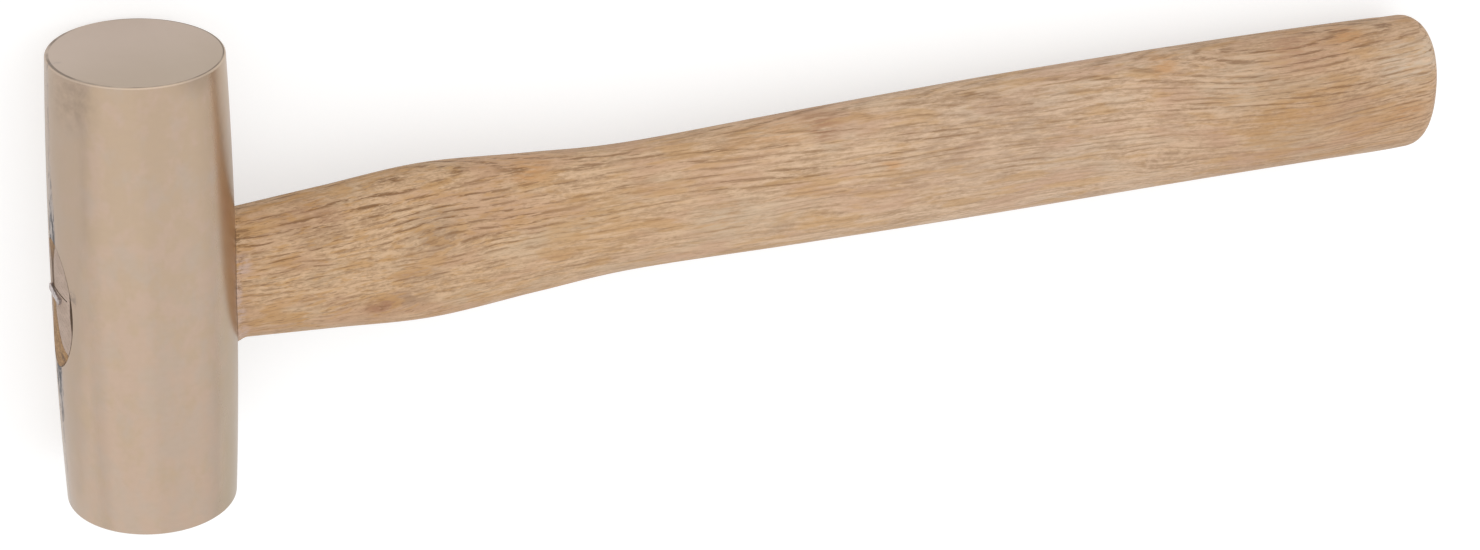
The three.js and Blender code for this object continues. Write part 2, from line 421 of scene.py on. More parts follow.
def along_curve(points, share):
    """A point on the smooth curve through the points, at a share of its way that is less than 1."""
    spans = len(points) - 1
    number = int(share * spans)
    t = share * spans - number

    def point(index):
        if index < 0:
            return [2 * a - b for a, b in zip(points[0], points[1])]
        if index > spans:
            return [2 * a - b for a, b in zip(points[spans], points[spans - 1])]
        return points[index]

    before, start, end, after = (point(number + step) for step in (-1, 0, 1, 2))
    return [
        0.5 * (2 * b + (c - a) * t + (2 * a - 5 * b + 4 * c - d) * t**2 + (3 * b - a - 3 * c + d) * t**3)
        for a, b, c, d in zip(before, start, end, after)
    ]


def handle_sections():
    """Every section from a stub in the head's side to the domed butt: its place along and across the
    handle, its height, its thickness, and how far its top leans back."""
    stations = handle_stations()
    neck, butt = stations[0], stations[-1]

    def middle(along):
        return EYE_OFFSET + GRIP_CLIMB * along - (GRIP_CLIMB + BUTT_DROP) * along**BUTT_DROP_SHARPNESS

    sections = [(BELLY_RADIUS - NECK_STUB, EYE_OFFSET, neck[1], neck[2], 0.0)]
    for ring in range(NECK_RINGS):
        x = BELLY_RADIUS - NECK_FIRST_RING + ring * NECK_RING_STEP
        if x < BELLY_RADIUS:
            sections.append((x, EYE_OFFSET, neck[1], neck[2], 0.0))
    for ring in range(HANDLE_RINGS):
        x, height, thickness = along_curve(stations, ring / HANDLE_RINGS)
        sections.append((BELLY_RADIUS + x, middle(x / butt[0]), height, thickness, 0.0))
    for ring in range(DOME_RINGS + 1):
        inward = 1 - (ring / (DOME_RINGS + 1)) ** 2
        along = (1 - inward**DOME_CROWN) ** (1 / DOME_FLATNESS)
        x = BELLY_RADIUS + butt[0] + DOME_LENGTH * along
        sections.append((x, middle(1), butt[1] * inward, butt[2] * inward, DOME_SLANT))
    return sections


def turn_up_lip(place):
    """Bends the wood beside the head outwards, most of all at the bottom of the neck."""
    reach = place.x - barrel_side(place.y, place.z)
    if reach > LIP_LENGTH:
        return place
    out = Vector((0, place.y - EYE_OFFSET, place.z)).normalized()
    below = max(0.0, -out.y) ** LIP_BELOW_SHARPNESS
    ripple = noise.noise(Vector((0, place.y, place.z)) * LIP_RIPPLES_PER_METRE)
    rise = (LIP_ALL_ROUND + LIP_BELOW * below) * (1 + LIP_UNEVENNESS * ripple)
    return place + out * rise * (1 - max(0.0, reach) / LIP_LENGTH) ** 2


def handle_outside():
    """The handle outside the head, drawn out section by section from its neck to its butt."""
    sections = handle_sections()
    x, y, height, thickness, lean = sections[0]
    piece = disc("wooden_handle", HANDLE_SIDES, (x, 0, 0))
    reshape(lambda at: Vector((x, soften(at.y, HANDLE_SQUARENESS), soften(at.z, HANDLE_SQUARENESS))))
    resize((1, height / 2, thickness / 2), (x, 0, 0))
    bpy.ops.transform.translate(value=(0, y, 0))
    for to_x, to_y, to_height, to_thickness, to_lean in sections[1:]:
        extrude((to_x - x, to_y - y, 0))
        centre = (to_x, to_y, 0)
        resize((to_height / height, to_height / height, to_thickness / thickness), centre)
        if to_lean != lean:
            bpy.ops.transform.rotate(value=-math.atan(to_lean), orient_axis="Z", center_override=centre)
        x, y, height, thickness, lean = to_x, to_y, to_height, to_thickness, to_lean
    bpy.ops.mesh.inset(thickness=height * DOME_END_INSET)
    reshape(turn_up_lip)
    done()
    return piece


def ground_side(growth):
    """The barrel with its handle side drawn out, which takes off only what was ground at the eye's
    mouth."""
    piece = barrel("grind", growth)
    reshape(lambda place: Vector((place.x * (DRAWN_OUT if place.x > 0 else 1), place.y, place.z)))
    done()
    return piece


def draw_in_sliver(place):
    """Draws the tongue's near side in from the eye, where the dark gap shows."""
    reach = max(0.0, 1 - ((place.y - SLIVER["middle"]) / SLIVER["half_length"]) ** 2)
    if place.z > 0:
        place = place - Vector((0, 0, SLIVER["width"] * reach**2))
    return place


def tongue():
    """The handle's end, which goes through the eye from inside the neck and is ground flush."""
    piece = eye_plug("tongue", TIGHT)
    reshape(draw_in_sliver)
    done()
    combine(piece, ground_side(-SUNK), "INTERSECT")
    return piece


def room_for_head():
    piece = barrel("room_for_head", TIGHT)
    done()
    return piece


def make_handle():
    handle = handle_outside()
    combine(handle, room_for_head())
    combine(handle, tongue(), "UNION")
    combine(handle, wooden_blank("saw_cut", SNUG, SAW_CUT_DEEPER))
    combine(handle, steel_room())
    combine(handle, crack())
    finish(handle, CREASE)
    return handle


# The wedges


def wedge_half(up):
    """Half the wooden wedge's thickness at the eye's mouth, this far above the eye's middle."""
    for (high, upper), (low, lower) in zip(WEDGE_HALVES, WEDGE_HALVES[1:]):
        if low <= up <= high:
            return lower + (upper - lower) * (up - low) / (high - low)
    return WEDGE_HALVES[0][1] if up > 0 else WEDGE_HALVES[-1][1]


def wooden_blank(name, gap, deeper):
    """The wooden wedge before it is cut to the eye: thick at the mouth and tapered to a thin tip."""
    tip = WEDGE_DEPTH + deeper - BELLY_RADIUS
    tall = EYE_HEIGHT + WEDGE_TALLER
    middle = ((tip - BEYOND) / 2, EYE_OFFSET, 0)
    bpy.ops.mesh.primitive_cube_add(size=1, location=middle, scale=(tip + BEYOND, tall, MM))
    piece = named(name)
    pick("EDGE", lambda edge: abs(edge.verts[0].co.y - edge.verts[1].co.y) > tall / 2)
    bpy.ops.mesh.subdivide(number_cuts=WEDGE_ROWS - 1)
    growth = (BEYOND - BELLY_RADIUS) / WEDGE_DEPTH

    def taper(place):
        mouth = wedge_half(place.y - EYE_OFFSET)
        half = WEDGE_TIP / 2 if place.x > 0 else mouth + growth * (mouth - WEDGE_TIP / 2)
        return Vector((place.x, place.y, math.copysign(half + gap, place.z)))

    reshape(taper)
    done()
    return piece


def make_wooden_wedge():
    wedge = wooden_blank("wooden_wedge_piece", 0.0, 0.0)
    room = eye_plug("eye_room", TIGHT)
    done()
    combine(wedge, room, "INTERSECT")
    combine(wedge, ground_side(0.0), "INTERSECT")
    combine(wedge, steel_room())
    finish(wedge, CREASE)
    return wedge


def steel_plate(name, gap=0.0):
    """The steel wedge's tapered plate, not yet in its place, or a larger one that cuts its room."""
    depth = STEEL_DEPTH + STEEL_PROUD + 2 * gap
    thickness = STEEL_THICKNESS + 2 * gap
    middle = (STEEL_DEPTH - STEEL_PROUD) / 2
    bpy.ops.mesh.primitive_cube_add(
        size=1, location=(middle, 0, 0), scale=(depth, thickness, STEEL_WIDTH + 2 * gap)
    )
    piece = named(name)
    pick("VERT", lambda vertex: vertex.co.x > middle)
    resize((1, (STEEL_TIP + 2 * gap) / thickness, 1), (0, 0, 0))
    pick("VERT", lambda vertex: vertex.co.z > 0)
    resize((1, STEEL_NEAR_END, 1), (0, -thickness / 2, 0))
    return piece


def slice_through(place, across):
    """Cuts new edges round the piece where a plane meets it."""
    bpy.ops.mesh.select_all(action="SELECT")
    bpy.ops.mesh.bisect(plane_co=place, plane_no=across)


def drive_in(piece, roll, side, above_eye):
    """Takes a blade from the origin to its place across the eye."""
    bpy.ops.object.mode_set(mode="OBJECT")
    for turn, step in (
        ((roll, 0, 0), (-BELLY_RADIUS, 0, 0)),
        ((0, math.asin(side / BELLY_RADIUS), 0), (0, EYE_OFFSET + above_eye, 0)),
    ):
        piece.rotation_euler = turn
        bpy.ops.object.transform_apply(rotation=True)
        piece.location = step
        bpy.ops.object.transform_apply(location=True)


def steel_room():
    """What the steel wedge cuts out of the wood."""
    piece = steel_plate("steel_room", TIGHT)
    drive_in(piece, STEEL_ROLL, STEEL_SIDE, STEEL_ABOVE_EYE)
    return piece


def crack():
    """The thin split that runs in the tongue's end beside the steel wedge, pointed at its foot."""
    bpy.ops.mesh.primitive_cube_add(size=1, scale=(2 * CRACK_DEPTH, CRACK_WIDTH, CRACK_LENGTH))
    piece = named("crack")
    pick("VERT", lambda vertex: vertex.co.x > 0)
    resize((1, *CRACK_FOOT), (0, 0, 0))
    drive_in(piece, CRACK_ROLL, CRACK_SIDE, CRACK_ABOVE_EYE)
    return piece


def batter(place):
    """Spreads and dents the end that the hammer blows fell on."""
    struck = max(0.0, 1 - (place.x + STEEL_PROUD) / STEEL_BATTERED)
    thicker, wider = (1 + share * struck**2 for share in STEEL_SPREAD)
    dent = noise.noise(place * STEEL_DENTS_PER_METRE) * STEEL_DENT * struck
    return place * Vector((1, thicker, wider)) + Vector((max(0.0, dent), dent * STEEL_DENT_ASIDE, 0))


def make_steel_wedge():
    wedge = steel_plate("steel_wedge_piece")
    bpy.ops.mesh.select_all(action="SELECT")
    bpy.ops.mesh.bevel(offset=STEEL_EDGE, segments=STEEL_EDGE_STEPS, affect="EDGES")
    for cut in range(STEEL_CUTS):
        share = (cut + 0.5) / STEEL_CUTS
        slice_through((STEEL_BATTERED * share - STEEL_PROUD, 0, 0), (1, 0, 0))
        slice_through((0, 0, STEEL_WIDTH * (share - 0.5)), (0, 0, 1))
    reshape(batter)
    done()
    drive_in(wedge, STEEL_ROLL, STEEL_SIDE, STEEL_ABOVE_EYE)
    finish(wedge, CREASE)
    return wedge


# Making materials

# The sockets of a Mix node for colours, which share their names with those for numbers
MIX_FACTOR, MIX_UNDER, MIX_OVER = 0, 6, 7
MIX_RESULT = 2


class Value:
    """One output in a set of nodes. Arithmetic on it adds Math nodes."""

    def __init__(self, nodes, socket):
        self.nodes = nodes
        self.socket = socket

    def math(self, operation, *others):
        return self.nodes.add("Math", {"operation": operation}, dict(enumerate((self, *others))))

    def __add__(self, other):
        return self.math("ADD", other)

    def __mul__(self, other):
        return self.math("MULTIPLY", other)

    def __sub__(self, other):
        return self.math("SUBTRACT", other)

    def __rsub__(self, other):
        return (self * -1) + other

    def __pow__(self, other):
        return self.math("POWER", other)

    __radd__ = __add__
    __rmul__ = __mul__


class Nodes:
    """The nodes of a material or of the world."""

    def __init__(self, tree):
        tree.nodes.clear()
        self.tree = tree

    def add(self, kind, settings=None, inputs=None, output=0):
        """A node with its settings, and with a value or a link at each socket that is named."""
        node = self.tree.nodes.new("ShaderNode" + kind)
        for name, value in (settings or {}).items():
            setattr(node, name, value)
        for name, value in (inputs or {}).items():
            if isinstance(value, Value):
                self.tree.links.new(value.socket, node.inputs[name])
            else:
                node.inputs[name].default_value = value
        return Value(self, node.outputs[output]) if node.outputs else None

    def blend(self, factor, under, over, how="MIX"):
        """One colour over another."""
        settings = {"data_type": "RGBA", "blend_type": how}
        under, over = (shade if isinstance(shade, Value) else (*shade, 1) for shade in (under, over))
        inputs = {MIX_FACTOR: factor, MIX_UNDER: under, MIX_OVER: over}
        return self.add("Mix", settings, inputs, MIX_RESULT)

    def lay(self, mask, under, tone, how="MIX"):
        """A tone, which is a colour and its strength, over another colour where the mask says."""
        over, strength = tone
        return self.blend(mask * strength, under, over, how)

    def vector(self, operation, *inputs, output="Vector"):
        return self.add("VectorMath", {"operation": operation}, dict(enumerate(inputs)), output)

    def parts(self, vector):
        """The three numbers of a vector."""
        split = self.add("SeparateXYZ", {}, {"Vector": vector}).socket.node
        return [Value(self, socket) for socket in split.outputs]

    def step(self, value, low, high):
        """0 below low, 1 above high, and a soft rise between."""
        inputs = {"Value": value, "From Min": low, "From Max": high}
        return self.add("MapRange", {"interpolation_type": "SMOOTHSTEP"}, inputs)

    def cloud(self, place, size, detail=2.0, roughness=0.5, shift=0.0):
        """Smooth noise from 0 to 1, with patches of this size in millimetres along each axis. The shift
        takes it from another part of the same noise."""
        scale = tuple(1 / length for length in size)
        at = self.add("Mapping", {}, {"Vector": place, "Scale": scale, "Location": (shift,) * 3})
        inputs = {"Vector": at, "Scale": 1.0, "Detail": detail, "Roughness": roughness}
        return self.add("TexNoise", {}, inputs)

    def patches(self, place, size, rise, **kind):
        """1 inside the patches of a cloud and 0 outside them, with an edge where the cloud rises."""
        return self.step(self.cloud(place, size, **kind), *rise)

    def spot(self, place, middle, reach, soft=1.0):
        """1 in the middle of an oval spot, fading to 0 at its edge."""
        away = self.vector("DIVIDE", self.vector("SUBTRACT", place, middle), reach)
        length = self.vector("LENGTH", away, output="Value")
        return 1 - self.step(length, 1 - soft, 1.0)

    def head_place(self):
        """Where a point lies from the head's centre, in millimetres, along the handle and the head."""
        place = self.add("TexCoord", output="Object")
        from_head = self.vector("SUBTRACT", place, tuple(HEAD_CENTRE))
        settings = {"rotation_type": "Y_AXIS"}
        turned = self.add("VectorRotate", settings, {"Vector": from_head, "Angle": -DROOP})
        return self.add("VectorMath", {"operation": "SCALE"}, {0: turned, "Scale": 1 / MM})


def raised(mask, plain, extra):
    """A level that rises from its plain value by an extra where the mask says."""
    return mask * extra + plain


def new_material(name):
    material = bpy.data.materials.new(name)
    material.use_nodes = True
    return material, Nodes(material.node_tree)


def finish_material(nodes, inputs, height, depth):
    """The shader with its bump, and the output."""
    inputs["Normal"] = nodes.add("Bump", {}, {"Height": height, "Distance": depth})
    shader = nodes.add("BsdfPrincipled", {}, inputs)
    nodes.add("OutputMaterial", {}, {"Surface": shader})


# In the materials, places and lengths are in millimetres from the head's centre, and a tone is a colour
# with its strength. A pair of numbers says where something sets in and where it is complete. A pair that
# is a width, a strength or a roughness says how much of it there is everywhere, and how much more at most.

# Bronze: the clouds, the faces, and the tones that lie over them
BRONZE_PINK = (0.585, 0.436, 0.332)
BRONZE_GOLD = (0.562, 0.424, 0.303)
BRONZE_FACE = (0.585, 0.476, 0.398)
BRONZE_FACE_PAINTED_SHADE = (0.502, 0.405, 0.318)
BRONZE_HANDLE_SIDE_SHADE = (0.440, 0.350, 0.245)
BRONZE_GREY = ((0.545, 0.438, 0.350), 0.65)
BRONZE_EYE_END_SHADE = ((0.460, 0.355, 0.275), 0.60)
BRONZE_SCUFFS = ((0.460, 0.355, 0.275), 0.10)
BRONZE_BROWNED = ((0.300, 0.230, 0.175), 0.55)
BRONZE_RIM_HIGHLIGHT = ((0.720, 0.600, 0.500), 0.3)
BRONZE_RIM_SHADE_LINE = ((0.190, 0.145, 0.110), 0.85)
BRONZE_DULL = ((0.400, 0.350, 0.330), 0.8)
BRONZE_STAIN = ((0.085, 0.090, 0.105), 0.85)
GOLD_RISE = (0.38, 0.62)
GOLD_PER_MM_UP = 0.0016
GREY_RISE = (0.44, 0.68)
GREY_PER_MM_DOWN = 0.0008
BAND_WANDER = 6.0
# Painted shade towards the eye's outer end: where it sets in and is complete, its slant along the head and
# its unevenness
EYE_END_SHADE_SIDE = (15.2, 17.6)
EYE_END_SHADE_SLANT = 0.035
EYE_END_SHADE_UNEVEN = 0.6
# Painted shade on the handle's side: where it sets in and is complete, its strength, and how much less
# there is per mm up
HANDLE_SIDE_SHADE_STARTS = (8.5, 15.0)
HANDLE_SIDE_SHADE_STRENGTH = 0.35
HANDLE_SIDE_SHADE_LESS_PER_MM_UP = 0.010
# Painted shade on each face's upper half: where it sets in and is complete, its slant towards the handle
# and its unevenness
FACE_SHADE_SIDE = (-14.0, 18.0)
FACE_SHADE_SLANT = 0.2
FACE_SHADE_UNEVEN = 0.5
# Where the painted dark reflection line at each face's edge lies, and how much wider it is towards the
# eye's outer end
LINE_INSIDE = (18.15, 18.3)
LINE_OUTSIDE = (18.45, 18.6)
LINE_WIDER_BY = 0.3
LINE_WIDER_SIDE = (2.0, 14.0)
BROWN_ON_EYE_SIDE = ((-17.0, 49.0, 9.0), (8.0, 10.0, 10.0), 0.9)
BROWN_ON_HANDLE_SIDE = ((8.5, 57.0, 16.5), (9.0, 9.5, 10.0), 0.9)
SMEAR = ((-18.0, 2.6, 8.2), (3.0, 2.6, 1.9), 0.8)
SMEAR_STRENGTH = 0.5
BROWN_RISE = (0.30, 0.72)
BROWN_EVENNESS = 0.6
BRONZE_ROUGHNESS = (0.18, 0.12)
FACE_ROUGHER = 0.12
HANDLE_SIDE_ROUGHER = 0.06
STAIN_ROUGHER = 0.3
BRONZE_RELIEF = 0.004 * MM

# How squarely the bronze faces along the head: on a face, on its rounded edge where a highlight is
# painted, and
# # at the edge's line where a dark reflection is painted
FACE_SQUARENESS = (0.86, 0.99)
RIM_SQUARENESS = (0.12, 0.45)
RIM_ENDS = (0.75, 0.97)
LINE_SQUARENESS = (0.5, 0.9)

# The unpolished streak beside the eye
SEAM_BACK = (15.0, 18.0)
SEAM_PLACE = 0.3
SEAM_WANDER = 2.4
SEAM_ENDS = (18.0, 38.0)
SEAM_WIDTH = (0.4, 1.5)
SEAM_EDGE = (-0.5, 0.5)
SEAM_DULLNESS = (0.3, 0.7)
SEAM_SPOTS = (0.46, 0.58)
SEAM_SPOTS_MORE = 0.03


def seam(nodes, place):
    """The unpolished streak that runs along the barrel from both ends of the eye: how dull it is, and
    where it is spotted dark."""
    x, y, z = nodes.parts(place)
    back = nodes.step(x * -1, *SEAM_BACK)
    wander = (nodes.cloud(place, (8, 5, 8), detail=4.0, roughness=0.7, shift=71.0) - 0.5) * SEAM_WANDER
    off_line = (z - SEAM_PLACE + wander).math("ABSOLUTE")
    from_eye = (y - EYE_OFFSET / MM).math("ABSOLUTE")
    near_eye = 1 - nodes.step(from_eye, *SEAM_ENDS)
    narrow = 1 - nodes.step(off_line - raised(near_eye, *SEAM_WIDTH), *SEAM_EDGE)
    broken = nodes.cloud(place, (1.3, 4.5, 1.3), detail=3.0, roughness=0.7, shift=83.0)
    dull = back * narrow * raised(near_eye, *SEAM_DULLNESS)
    return dull, dull * nodes.step(broken + near_eye * SEAM_SPOTS_MORE, *SEAM_SPOTS)


def smear(nodes, place):
    """The grey smudge on the bronze beside the near end of the steel wedge."""
    mottled = nodes.patches(place, (1.6, 1.6, 1.6), (0.35, 0.65), detail=3.0, roughness=0.7, shift=97.0)
    return nodes.spot(place, *SMEAR) * mottled


def browned(nodes, place):
    """The brown mottling under the upper face, on the eye's side and on the handle's."""
    mottled = nodes.cloud(place, (3.0, 3.0, 3.0), detail=4.0, roughness=0.7, shift=17.0)
    eye_side = nodes.spot(place, *BROWN_ON_EYE_SIDE)
    handle_side = nodes.spot(place, *BROWN_ON_HANDLE_SIDE)
    return eye_side * nodes.step(mottled, *BROWN_RISE) + handle_side * (mottled + BROWN_EVENNESS)


def bronze():
    """Satin aluminium bronze, turned smooth: soft clouds of gold, pink and grey, with painted shade
    towards the eye's outer end, on the handle's side and on each face's upper half, and a painted
    highlight and a painted dark line round each face's edge."""
    material, nodes = new_material("bronze")
    place = nodes.head_place()
    x, y, z = nodes.parts(place)
    golden = nodes.cloud(place, (4, 6, 4), detail=3.0, roughness=0.6) + y * GOLD_PER_MM_UP
    grey = nodes.cloud(place, (6, 9, 6), detail=3.0, roughness=0.6, shift=37.0) - y * GREY_PER_MM_DOWN
    colour = nodes.blend(nodes.step(golden, *GOLD_RISE), BRONZE_PINK, BRONZE_GOLD)
    colour = nodes.lay(nodes.step(grey, *GREY_RISE), colour, BRONZE_GREY)

    uneven = (nodes.cloud(place, (8, 12, 8), detail=4.0, roughness=0.6, shift=61.0) - 0.5) * BAND_WANDER
    # Painted shade: darker towards the eye's outer end
    eye_end_shade = nodes.step(x * -1 + y * EYE_END_SHADE_SLANT + uneven * EYE_END_SHADE_UNEVEN, *EYE_END_SHADE_SIDE)
    colour = nodes.lay(eye_end_shade, colour, BRONZE_EYE_END_SHADE)
    # Painted shade: darker and browner on the handle's side, less so higher up
    handle_side_shade = nodes.step(x + uneven, *HANDLE_SIDE_SHADE_STARTS)
    colour = nodes.blend(handle_side_shade * (HANDLE_SIDE_SHADE_STRENGTH - y * HANDLE_SIDE_SHADE_LESS_PER_MM_UP), colour, BRONZE_HANDLE_SIDE_SHADE)
    scuffed = nodes.patches(place, (2.2, 1.4, 2.2), (0.35, 0.65), detail=4.0, roughness=0.7, shift=53.0)
    colour = nodes.lay(scuffed, colour, BRONZE_SCUFFS)
    colour = nodes.lay(browned(nodes, place), colour, BRONZE_BROWNED)

    facing = nodes.parts(nodes.add("NewGeometry", output="Normal"))[1].math("ABSOLUTE")
    on_face = nodes.step(facing, *FACE_SQUARENESS)
    # Painted shade: each face is browner on its upper half, more so towards the handle
    upwards = z + x * FACE_SHADE_SLANT + uneven * FACE_SHADE_UNEVEN
    shaded_upper_face = nodes.step(upwards, *FACE_SHADE_SIDE)
    colour = nodes.blend(on_face, colour, nodes.blend(shaded_upper_face, BRONZE_FACE, BRONZE_FACE_PAINTED_SHADE))
    # Painted highlight round each face's rounded edge
    rim_highlight = nodes.step(facing, *RIM_SQUARENESS) * (1 - nodes.step(facing, *RIM_ENDS))
    colour = nodes.lay(rim_highlight, colour, BRONZE_RIM_HIGHLIGHT)
    # Painted dark reflection: a broken dark line at the inner edge of each face's rounded edge
    from_axis = (x**2 + z**2) ** 0.5
    inner = from_axis + nodes.step(x * -1, *LINE_WIDER_SIDE) * LINE_WIDER_BY
    rim_shade_line = nodes.step(inner, *LINE_INSIDE) * (1 - nodes.step(from_axis, *LINE_OUTSIDE))
    rim_shade_line = rim_shade_line * nodes.step(facing, *LINE_SQUARENESS)
    rim_shade_line = rim_shade_line * nodes.patches(place, (14, 14, 14), (0.36, 0.54), detail=3.0, shift=33.0)
    colour = nodes.lay(rim_shade_line, colour, BRONZE_RIM_SHADE_LINE)

    dull, spotted = seam(nodes, place)
    stained = spotted.math("MAXIMUM", smear(nodes, place) * SMEAR_STRENGTH)
    colour = nodes.lay(dull, colour, BRONZE_DULL)
    colour = nodes.lay(stained, colour, BRONZE_STAIN)
    turned = nodes.cloud(place, (40, 0.5, 40), shift=11.0)
    rough = nodes.cloud(place, (7, 12, 7), detail=4.0, roughness=0.65, shift=5.0)
    roughness = raised(rough, *BRONZE_ROUGHNESS) + on_face * FACE_ROUGHER
    roughness = roughness + handle_side_shade * HANDLE_SIDE_ROUGHER + stained * STAIN_ROUGHER
    inputs = {"Base Color": colour, "Metallic": 1.0, "Roughness": roughness}
    finish_material(nodes, inputs, turned - stained, BRONZE_RELIEF)
    return material


# Handle wood: its colours, and the tones that lie over them
WOOD_PALE = (0.735, 0.525, 0.360)
WOOD_BASE = (0.470, 0.305, 0.185)
WOOD_OCHRE = (0.580, 0.335, 0.130)
WOOD_ROSE = (0.600, 0.375, 0.250)
WOOD_SAND = (0.640, 0.500, 0.370)
WOOD_CLOUD = (0.410, 0.270, 0.180)
WOOD_ORANGE = (0.620, 0.340, 0.150)
WOOD_RED = (0.400, 0.200, 0.110)
WOOD_WORN = (0.860, 0.790, 0.700)
WOOD_PORE = (0.220, 0.100, 0.025)
SAND_TONE = (WOOD_SAND, 0.45)
ROSE_TONE = (WOOD_ROSE, 0.60)
BROWN_TONE = ((0.350, 0.192, 0.082), 0.7)
PORE_TONE = (WOOD_PORE, 0.72)
DEEPER_TONE = ((0.920, 0.850, 0.720), 0.9)
TORN_TONE = ((0.620, 0.465, 0.415), 0.55)
# Painted shade in the crevices beside the head
CRACK_SHADE = (WOOD_PORE, 0.7)
# Painted shade on the wood inside the eye
INSIDE_EYE_SHADE = ((0.100, 0.068, 0.048), 0.9)

# Strengths that rise towards the neck or, for the fibres' waviness, on the swell
OCHRE_STRENGTH = (0.48, 0.10)
FLECK_STRENGTH = (0.16, 0.42)
DOT_STRENGTH = (0.26, 0.30)
WAVINESS = (0.4, 0.6)

# How much fibres ripple, how brown they are and how dark the pore lines are: first everywhere, and then
# what some places add or take off
RIPPLE = 1.3
RIPPLE_LESS_ABOVE = 1.1
BROWN = 0.3
BROWN_IN_LAYER = 0.3
BROWN_ABOVE = 0.2
LINES = 0.58
LINES_AT_HEAD = 0.32
LINES_AT_BUTT = 0.30
LINES_WHERE_SPARSE = 0.13
LINES_ABOVE_NECK = 0.2
PALE_RISE = (0.28, 0.65)
PALE_SPECKS = 0.60

# Stretches along the handle, and its upper half
NECK_ENDS = (30.0, 130.0)
HEAD_END_FADES = (30.0, 270.0)
SWELL_ENDS = (90.0, 160.0)
BUTT_STARTS = (240.0, 320.0)
WEAR_STARTS = (215.0, 315.0)
UPPER_HALF = (-9.0, 11.0)
UPPER_WANDER = 18.0
INSIDE_EYE = (14.0, 16.0)

# The middle of each mark on the near side lies this high
NEAR_SIDE = 10

# Stains and small knots on the near side: the middle along and across the handle, how far each reaches
# both ways, its colour and its strength
WOOD_MARKS = (
    ((64, 5), (9, 8), WOOD_CLOUD, 0.75),
    ((61, -5), (8, 3), WOOD_CLOUD, 0.60),
    ((58, -11), (9, 4), WOOD_CLOUD, 0.70),
    ((52, -12), (6, 3), WOOD_RED, 0.80),
    ((42, -9), (5, 4), WOOD_RED, 0.45),
    ((36, 12), (12, 5), WOOD_RED, 0.45),
    ((89, 14), (8, 3), WOOD_ORANGE, 0.80),
    ((36, 9), (14, 6), WOOD_CLOUD, 0.35),
    ((72, -13), (9, 4), WOOD_SAND, 0.55),
    ((90, -1), (14, 6), WOOD_SAND, 0.35),
    ((208, 5), (40, 20), WOOD_CLOUD, 0.45),
    ((283, 9), (22, 10), WOOD_SAND, 0.60),
    ((335, 8), (18, 9), WOOD_SAND, 0.85),
    ((104, 1), (18, 11), WOOD_OCHRE, 0.40),
    ((138, -4), (16, 8), WOOD_SAND, 0.65),
    ((150, 14), (22, 5), WOOD_ORANGE, 0.45),
    ((164, 14), (8, 5), WOOD_RED, 0.65),
    ((161, -8), (7, 3.5), WOOD_OCHRE, 0.50),
    ((180, 3), (6, 2), WOOD_ORANGE, 0.70),
    ((260, 15.5), (7, 3), WOOD_ORANGE, 0.80),
    ((297, -1), (20, 10), WOOD_OCHRE, 0.60),
    ((302, 13), (20, 6), WOOD_ROSE, 0.70),
    ((300, 16), (12, 3.5), WOOD_RED, 0.40),
    ((317, 15.5), (9, 3), WOOD_ORANGE, 0.80),
    ((335, -6), (8, 5), WOOD_ORANGE, 0.70),
)
MARK_DEPTH = 18
MARK_SOFTNESS = 0.75
MARK_STREAKS = (0.2, 0.9)
PALE_END = ((337, 7, NEAR_SIDE), (26, 12, 16))
PALE_END_STRENGTH = 0.85

# Knots that the fibres bend round: the middle, the reach, and how far they are pushed
KNOTS = (
    ((52, -12, NEAR_SIDE), (16, 7, 12), 0.55),
    ((64, 3, NEAR_SIDE), (20, 9, 12), 0.45),
    ((160, -8, NEAR_SIDE), (22, 7, 12), 0.50),
    ((258, -7, NEAR_SIDE), (16, 8, 12), 0.60),
)

# The fibres' climb along the handle: over which stretch, and how far
FIBRE_CLIMB = (((10.0, 85.0), -3.4), ((80.0, 300.0), 3.4), ((235.0, 305.0), 4.2), ((300.0, 350.0), -1.6))
FIBRE_SWAY = 3.5
FIBRE_SWAY_IN_DEPTH = 3.0
RIPPLE_IN_DEPTH = 0.8
SHORT_FIBRES = (10.0, 110.0)
SHORTENED_BY = 45.0

# Places on the neck where the head's edge crushed the wood, and the barrel's radius there
BRUISES = (
    ((19.6, 3.6, NEAR_SIDE), (3.2, 3.4, 14)),
    ((18.5, -3.0, NEAR_SIDE), (1.5, 5.0, 14)),
    ((18.8, -8.5, NEAR_SIDE), (2.3, 3.4, 14)),
    ((20.0, -14.0, 5), (2.3, 3.4, 14)),
)
BRUISE_SOFTNESS = 0.6
BARREL_RADIUS = 20.0
BARREL_SLIMMING = 0.0004
CRACKS_REACH = (0.5, 2.2)
CRACKS_ABOVE = (-8.0, 2.0)
CRACKS_SHARE = (0.3, 0.7)

# Growth layers, a millimetre apart: the tree's pith lies below the handle and behind it
PITH_BELOW = 30.0
PITH_BEHIND = 14.0
LAYER_WANDER = 1.4
LAYER_PORES = (0.08, 0.28)

# The wood's surface
WOOD_ROUGHNESS = 0.54
PORES_SMOOTHER = 0.05
SOFT_WOOD_RELIEF = 0.3
WOOD_RELIEF = 0.06 * MM


